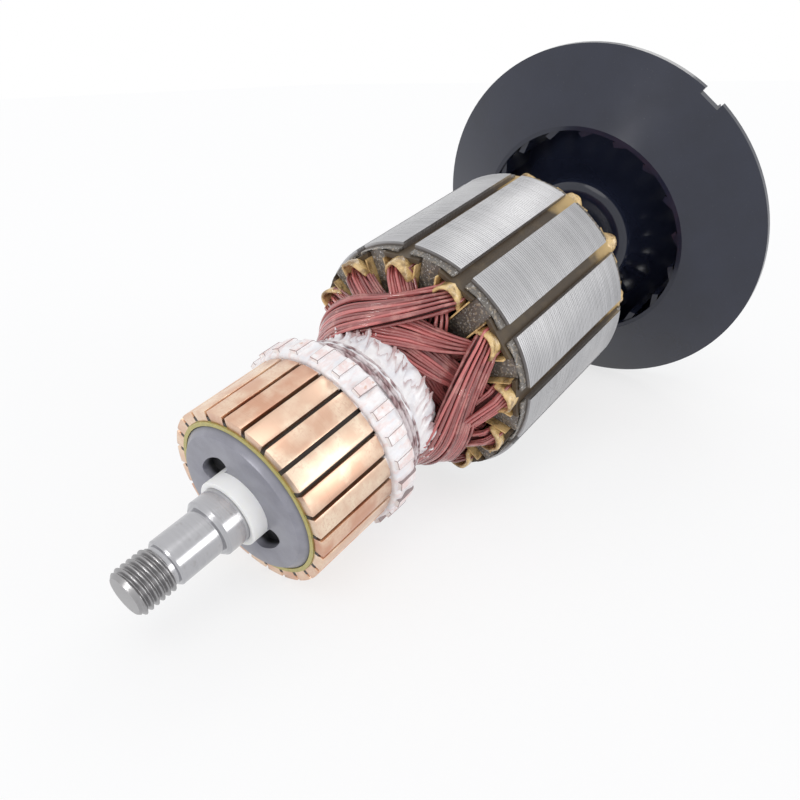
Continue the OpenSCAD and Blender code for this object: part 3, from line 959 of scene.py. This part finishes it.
class ARMATURE_OT_stage(bpy.types.Operator):
    """White floor, soft light and camera"""

    bl_idname = "armature.stage"
    bl_label = "Stage"

    def execute(self, context):
        deselect()
        bpy.ops.mesh.primitive_plane_add(size=6, location=(0, 0, -0.0002))
        floor = context.object
        floor.name = "floor"
        material = bpy.data.materials.new("floor_white")
        kinds = ("OutputMaterial", "BsdfDiffuse", "Emission")
        backdrop(material, kinds, FLOOR_COLOUR, FLOOR_GLOW)
        floor.data.materials.append(material)
        room = bpy.data.worlds.new("studio")
        kinds = ("OutputWorld", "Background", "Background")
        backdrop(room, kinds, ROOM_COLOUR, 1.0, ROOM_LIGHT)
        context.scene.world = room
        for lamp in LAMPS:
            self.sun(*lamp)
        self.camera(context.scene)
        context.scene.view_settings.view_transform = "Standard"
        return {"FINISHED"}

    def sun(self, name, energy, spread, towards):
        lamp = bpy.data.lights.new(name, "SUN")
        lamp.energy = energy
        lamp.angle = math.radians(spread)
        lamp.color = LAMP_COLOUR
        add(name, lamp).rotation_euler = Vector(towards).to_track_quat("Z", "Y").to_euler()

    def camera(self, scene):
        camera = bpy.data.cameras.new("camera")
        camera.sensor_width = SENSOR
        camera.lens = LENS
        camera.clip_start, camera.clip_end = 0.005, 20
        eye = add("camera", camera)
        forward = FORWARD.normalized()
        up = RIGHT.cross(forward).normalized()
        turn = Matrix((forward.cross(up), up, -forward)).transposed().to_4x4()
        eye.matrix_world = Matrix.Translation(ORIGIN + EYE * MM) @ turn
        scene.camera = eye


# ---- Winding: the same layered end turns as the solids, one wire at a time

HALF_THROW = math.radians(75)
LAYERS = 6
SLOT_EXIT = 1.6
LOW = (15.74, 5.43, 3.16)  # radius, thickness and width of a coil side deep in its slot
HIGH = (20.24, 3.27, 5.57)  # and of one in the slot's mouth
BAND_T = 2.2
BAND_W = (4.5, 9.6)  # of the innermost and the outermost end turn
CROWN_R = 15.3
CROWN_LEAN = math.radians(37)
END_LEN = 15.0


class EndTurn:
    """The end turn of the coil that starts in slot m: its middle line and how it faces."""

    def __init__(self, m):
        layer = (7 - m + SLOT_COUNT) % LAYERS
        share = layer / (LAYERS - 1)
        self.width = lerp(*BAND_W, share)
        sin_l, cos_l = math.sin(CROWN_LEAN), math.cos(CROWN_LEAN)
        inner_r = SLEEVE_R + 0.15 + BAND_W[0] / 2 * sin_l + BAND_T / 2 * cos_l
        inner_h = 0.6 + BAND_W[0] / 2 * cos_l + BAND_T / 2 * sin_l
        outer_h = END_LEN - SLOT_EXIT - BAND_W[1] / 2 * cos_l - BAND_T / 2 * sin_l
        self.mid_r = lerp(inner_r, CROWN_R, share**1.1)
        self.mid_h = lerp(inner_h, outer_h, share)
        self.sides = (HIGH if layer > 0 else LOW, HIGH if layer == LAYERS - 1 else LOW)

    def plan(self, r, f):
        """(radius, angle) at the share f of the way from the slot to the crown."""
        bend = math.acos(self.mid_r / r)
        straight = r * math.sin(bend)
        arc = self.mid_r * (HALF_THROW - bend)
        left = straight - f * (straight + arc)
        if left > 0:
            return math.hypot(self.mid_r, left), bend - math.atan2(left, self.mid_r)
        return self.mid_r, bend - left / self.mid_r

    def point(self, u):
        first = u < 0.5
        f = 2 * u if first else 2 - 2 * u
        r, a = self.plan(self.sides[0 if first else 1][0], f)
        if not first:
            a = 2 * HALF_THROW - a
        return Vector((r * math.cos(a), r * math.sin(a), self.mid_h * (1 - (1 - f) ** 2.2)))

    def section(self, u):
        """(middle, outward direction, sideways direction, half thickness, half width) at u."""
        first = u < 0.5
        f = 2 * u if first else 2 - 2 * u
        spread = min(1.0, 1.5 * f)
        _, t, w = self.sides[0 if first else 1]
        c = self.point(u)
        ahead = self.point(min(1, u + 0.01)) - self.point(max(0, u - 0.01))
        direction = ahead.normalized()
        if u <= 0 or u >= 1:
            direction = Vector((0, 0, 1 if first else -1))
        lean = CROWN_LEAN * f
        facing = Vector((c.x, c.y, 0)).normalized() * math.cos(lean)
        facing += Vector((0, 0, math.sin(lean)))
        normal = (facing - direction * facing.dot(direction)).normalized()
        side = direction.cross(normal)
        return c, normal, side, lerp(t, BAND_T, spread) / 2, lerp(w, self.width, spread) / 2


def wire_paths(m, steps=25):
    """Paths of the wires of one coil, in the row frame."""
    turn = EndTurn(m)
    draw = Random(100 + m)
    wire = sizes().wire_d / MM
    across = max(6, round(sizes().wires_across * turn.width / BAND_W[1]))
    # (across, outward) places of the wires on the outer and on the inner face
    seats = []
    for count, spread, face in ((across, 0.97, 1), (across - 3, 0.93, -1)):
        for i in range(count):
            b = (2 * (i + 0.5) / count - 1) * spread
            seats.append((b, face))
    sections = [turn.section(i / (2 * steps)) for i in range(2 * steps + 1)]
    start = math.radians(SLOT_TURN + m * 360 / SLOT_COUNT)
    spin = Matrix.Rotation(start, 3, "Z")
    paths = []
    for z_exit, way in ((PLATE_Z - SLOT_EXIT, -1), (PLATE_END_Z + SLOT_EXIT, 1)):
        for number, (b, face) in enumerate(seats):
            phase = draw.uniform(0, math.tau)
            sway = draw.uniform(0.01, 0.05)
            drift = draw.gauss(0, 0.035)
            drift += draw.uniform(-0.35, 0.35) if draw.random() < 0.10 else 0  # a stray wire
            proud = draw.uniform(-0.06, 0.14) + (0.25 if abs(drift) > 0.15 else 0)
            depth = 0.95 - 0.34 * (number % 3) if face > 0 else -0.95 + 0.3 * (number % 3)
            path = []
            for i, (c, normal, side, half_t, half_w) in enumerate(sections):
                u = i / (2 * steps)
                f = 1 - abs(2 * u - 1)
                open_out = min(1.0, 2.2 * f)
                stray = drift * (2 * u - 1) + sway * math.sin(phase + 9 * u)
                bb = max(-0.99, min(0.99, b + stray * open_out))
                aa = lerp(depth * 0.9, math.sqrt(1 - bb * bb) * face, open_out)
                bb = lerp(bb * 0.98, bb, open_out)
                lift = max(0.0, half_t - wire * 0.36) * aa + proud * open_out * face
                p = spin @ (c + normal * lift + side * (half_w - wire * 0.3) * bb)
                path.append(LAY @ (Vector((p.x, p.y, z_exit + way * p.z)) * MM))
            into = AXIS * (-way) * 4 * MM  # the ends run on into their slots
            path.insert(0, path[0] + into)
            path.append(path[-1] + into)
            paths.append(path)
    return paths


class ARMATURE_OT_winding(bpy.types.Operator):
    """Twelve coils of enamelled wire, drawn one wire at a time, the wires of each coil one piece
    """

    bl_idname = "armature.winding"
    bl_label = "Winding"

    def execute(self, context):
        enamel, inside = wire_finish(), coil_shade_finish()
        for m in range(SLOT_COUNT):
            node = f"coil_{m + 1}"
            heart = copy_of(node, flat=0)
            # drawn in, so that its near-black finish shows between the wires as painted shade, and
            # its wires lie on it
            modify(heart, "DISPLACE", strength=-0.7 * sizes().wire_d, mid_level=0.0)
            dress(heart, node + "_heart", inside)
            obj = tubes(node + "_wires", wire_paths(m), sizes().wire_d / 2)
            dress(obj, node + "_wires", enamel, [node], smooth=80)
        return {"FINISHED"}


# ---- Slot films


class ARMATURE_OT_films(bpy.types.Operator):
    """Amber films that stand out of the slots, creased by hand"""

    bl_idname = "armature.films"
    bl_label = "Slot films"

    def execute(self, context):
        film = film_finish()
        assign(frame["nodes"]["slot_liners"], film)
        for end, label in enumerate(("front", "rear")):
            pick(*[self.hood(end, slot) for slot in range(SLOT_COUNT)])
            bpy.ops.object.join()
            dress(context.object, f"{label}_slot_films", film, smooth=60)
        return {"FINISHED"}

    def hood(self, end, slot):
        """One film arched over the wires at its slot's mouth."""
        z_exit, way = ((PLATE_Z, -1), (PLATE_END_Z, 1))[end]
        draw = Random(40 * end + slot)
        deselect()
        bpy.ops.mesh.primitive_grid_add(x_subdivisions=10, y_subdivisions=5, size=2)
        hood = bpy.context.object
        tall = draw.uniform(2.6, 3.9)
        slant = draw.uniform(-0.5, 0.5)
        flare = draw.uniform(0.0, 0.5)
        middle = SLOT_TURN + slot * 360 / SLOT_COUNT
        mouth_r, sunk, half_w, sides_in = 22.5, 0.9, 3.05, 3.4
        for vertex in hood.data.vertices:
            s, t = vertex.co.x, (vertex.co.y + 1) / 2
            crease = noise.noise(Vector((s * 2.2, t * 2.5, slot * 3.7 + end * 50)))
            x = mouth_r - sides_in * abs(s) ** 2.4 + flare * t * t + crease * t
            y = (half_w - 0.35 * abs(s) ** 4) * s + 0.25 * crease * t
            out = t * (tall + sunk + slant * s + 0.5 * crease - 0.7 * s * s) - sunk
            angle = middle + math.degrees(math.atan2(y, x))
            vertex.co = round_point(math.hypot(x, y), angle, z_exit + way * out)
        modify(hood, "SOLIDIFY", thickness=0.75 * MM, offset=0)
        modify(hood, "SUBSURF", levels=1, render_levels=1)
        clean(hood)
        return hood


# ---- Coated leads and their cord


class ARMATURE_OT_leads(bpy.types.Operator):
    """White coating brushed over the leads, and the cord that ties them down"""

    bl_idname = "armature.leads"
    bl_label = "Leads"

    def execute(self, context):
        coat = self.coat()
        pick(coat, self.skin())
        bpy.ops.object.join()
        dress(coat, "brushed_coating", paint_finish(), ["lead_coating"], smooth=60)
        cord = self.cord()
        dress(cord, "tying_cord", cord_finish(), ["binding_cord"], smooth=70)
        return {"FINISHED"}

    def coat(self):
        """The coat from the hooks over the cord's groove to the cone of the leads."""
        back = COMM_END_Z
        profile = [(SLEEVE_R, back + 0.5), (12.8, back + 0.5), (12.8, back), (15.9, back)]
        profile += [(15.9, 16.9), (16.6, 16.85), (17.05, 17.1), (17.25, 17.8)]
        profile += [(17.3, z / 2) for z in range(37, 43)]
        profile += [(17.1, 21.6), (16.6, 22.1), (15.7, 22.7), (14.8, 23.2), (14.2, 23.5)]
        profile += [(14.0, 24.0), (13.95, 24.6), (14.0, 25.3), (14.35, 25.8), (14.2, 26.4)]
        profile += [(13.7, 27.0), (13.3, 28.0), (12.9, 29.0), (12.8, 30.5), (13.0, 32.0)]
        profile += [(12.6, 33.5), (9.0, 34.0), (SLEEVE_R, 34.0)]
        coat = turned(profile, steps=240, closed=True)
        for vertex in coat.data.vertices:
            x, y, z = vertex.co / MM
            radius = math.hypot(x, y)
            if radius < 12 or z < 16.84:
                continue
            angle = math.atan2(y, x)
            ray = Vector((math.cos(angle), math.sin(angle), 0))
            swell = noise.noise(ray * 3 + Vector((0, 0, z * 0.5)))
            brush = noise.noise(ray * 9 + Vector((0, 0, z * 0.35)))
            between = math.cos((angle - math.radians(BAR_TURN)) * BAR_COUNT)
            hollow = -0.22 * max(0.0, -between) if z < 22.5 else 0.0
            move = (0.30 * swell + 0.22 * brush + hollow) * clamp((z - 16.8) / 0.8)
            if z > 23.0:
                move += 0.35 * brush
            vertex.co.x *= (radius + move) / radius
            vertex.co.y *= (radius + move) / radius
            if z < 18:
                vertex.co.z += (0.25 * brush + 0.1 * swell) * MM
        lay(coat)
        coat.data.attributes.new("thin", "FLOAT", "POINT")
        return coat

    def cord(self):
        """Two turns of cord in their groove and one of a thinner cord behind them."""
        turns, steps, cord_r, thin_z = 2.15, 90, 14.35, 26.35
        path, loop = [], []
        for i in range(int(turns * steps)):
            t = i / steps
            wave = noise.noise(Vector((t * 4.0, 3.3, 0.0)))
            z = CORD_Z + 0.15 + 0.82 * t + 0.14 * wave
            path.append(round_point(cord_r + 0.12 * wave, 30 + 360 * t, z))
        for i in range(steps + 1):
            t = i / steps
            wave = noise.noise(Vector((t * 5.0, 8.1, 2.0)))
            loop.append(round_point(cord_r + 0.1 * wave, 200 + 360 * t, thin_z + 0.35 * wave))
        cord = tubes("cord", [path], sizes().cord_d / 2, 2)
        pick(cord, tubes("thin_cord", [loop], sizes().cord_d * 0.28, 2))
        bpy.ops.object.join()
        return cord

    def skin(self):
        """Paint brushed from the cord onto the inner end turns, with a ragged edge."""
        points, faces = [], []
        for m in range(SLOT_COUNT):
            data = frame["nodes"][f"coil_{m + 1}"].data
            first = len(points)
            points += [v.co.copy() for v in data.vertices]
            faces += [tuple(first + i for i in p.vertices) for p in data.polygons]
        tree = BVHTree.FromPolygons(points, faces)
        columns, rows, z_from, z_to = 540, 56, 25.6, 34.6

        def place(i, j):
            return 360 * (i % columns) / columns, lerp(z_from, z_to, j / (rows - 1))

        def reach(i, j):
            """Radius of the coils there, or of the paint that bridges them."""
            angle, z = place(i, j)
            start = round_point(30, angle, z)
            hit = tree.ray_cast(start, (round_point(0, angle, z) - start).normalized())[0]
            bridge = 12.9 + 0.16 * abs(z - 29.5)
            return max(bridge, place_of(hit)[0] if hit is not None else 0.0)

        def mean(grid, i, j):
            rows_near = [grid[min(rows - 1, max(0, j + dj))] for dj in (-1, 0, 1)]
            return sum(row[(i + di) % columns] for row in rows_near for di in (-1, 0, 1)) / 9

        rough = [[reach(i, j) for i in range(columns)] for j in range(rows)]
        even = rough
        for _ in range(5):
            even = [[mean(even, i, j) for i in range(columns)] for j in range(rows)]
        deselect()
        bpy.ops.mesh.primitive_grid_add(x_subdivisions=columns, y_subdivisions=rows - 1, size=2)
        skin = bpy.context.object
        thin = skin.data.attributes.new("thin", "FLOAT", "POINT")
        cover = []
        for vertex in skin.data.vertices:
            i = round((vertex.co.x + 1) / 2 * columns) % columns
            j = round((vertex.co.y + 1) / 2 * (rows - 1))
            angle, z = place(i, j)
            skewed = math.radians(angle + 2.2 * (z - z_from))
            ray = Vector((math.cos(skewed), math.sin(skewed), 0))
            broad = noise.noise(ray * 1.7 + Vector((0, 0, 4.1)))
            streak = noise.noise(ray * 13 + Vector((0, 0, z * 0.10)))
            hair = noise.noise(ray * 26 + Vector((7, 0, z * 0.16)))
            radius = min(max(even[j][i], rough[j][i] - 0.8), 14.7)
            far = (z - 28.3) / 5.8 + 0.25 * max(0.0, radius - 14.0)
            far -= 0.25 * broad + 0.62 * streak + 0.22 * hair
            wear_and_edge_shade = ease(clamp((far - 0.30) / 0.42))
            lead_in = min(1.0, (z - z_from) / 0.9)
            lift = lerp(-0.9, 0.40 + 0.16 * streak + 0.08 * hair, lead_in) - 1.1 * wear_and_edge_shade
            vertex.co = round_point(radius + lift, angle, z)
            thin.data[vertex.index].value = wear_and_edge_shade
            cover.append(wear_and_edge_shade)
        delete_faces(skin, lambda face: min(cover[v] for v in face.vertices) > 0.96)
        clean(skin)
        return skin


# ---- Fan


class ARMATURE_OT_fan(bpy.types.Operator):
    """Glossy black fan"""

    bl_idname = "armature.fan"
    bl_label = "Fan"

    def execute(self, context):
        assign(frame["nodes"]["fan"], fan_finish())
        return {"FINISHED"}


# ---- Sidebar and registration

STEPS = (
    ARMATURE_OT_stage,
    ARMATURE_OT_shaft,
    ARMATURE_OT_commutator,
    ARMATURE_OT_leads,
    ARMATURE_OT_core,
    ARMATURE_OT_films,
    ARMATURE_OT_winding,
    ARMATURE_OT_fan,
)


class ARMATURE_PT_sidebar(bpy.types.Panel):
    """Lists the steps, sizes and colours of the armature"""

    bl_idname = "ARMATURE_PT_sidebar"
    bl_label = "Motor armature"
    bl_space_type = "VIEW_3D"
    bl_region_type = "UI"
    bl_category = "Armature"

    def draw(self, context):
        for step in STEPS:
            self.layout.operator(step.bl_idname)
        for group in (context.scene.armature_sizes, context.scene.armature_colours):
            for name in group.__annotations__:
                self.layout.prop(group, name)


CLASSES = (ArmatureSizes, ArmatureColours, *STEPS, ARMATURE_PT_sidebar)


def register():
    for cls in CLASSES:
        bpy.utils.register_class(cls)
    bpy.types.Scene.armature_sizes = bpy.props.PointerProperty(type=ArmatureSizes)
    bpy.types.Scene.armature_colours = bpy.props.PointerProperty(type=ArmatureColours)


def unregister():
    del bpy.types.Scene.armature_colours
    del bpy.types.Scene.armature_sizes
    for cls in reversed(CLASSES):
        bpy.utils.unregister_class(cls)


def main():
    register()
    for step in STEPS:
        group, name = step.bl_idname.split(".")
        getattr(getattr(bpy.ops, group), name)()


if __name__ == "__main__":
    main()
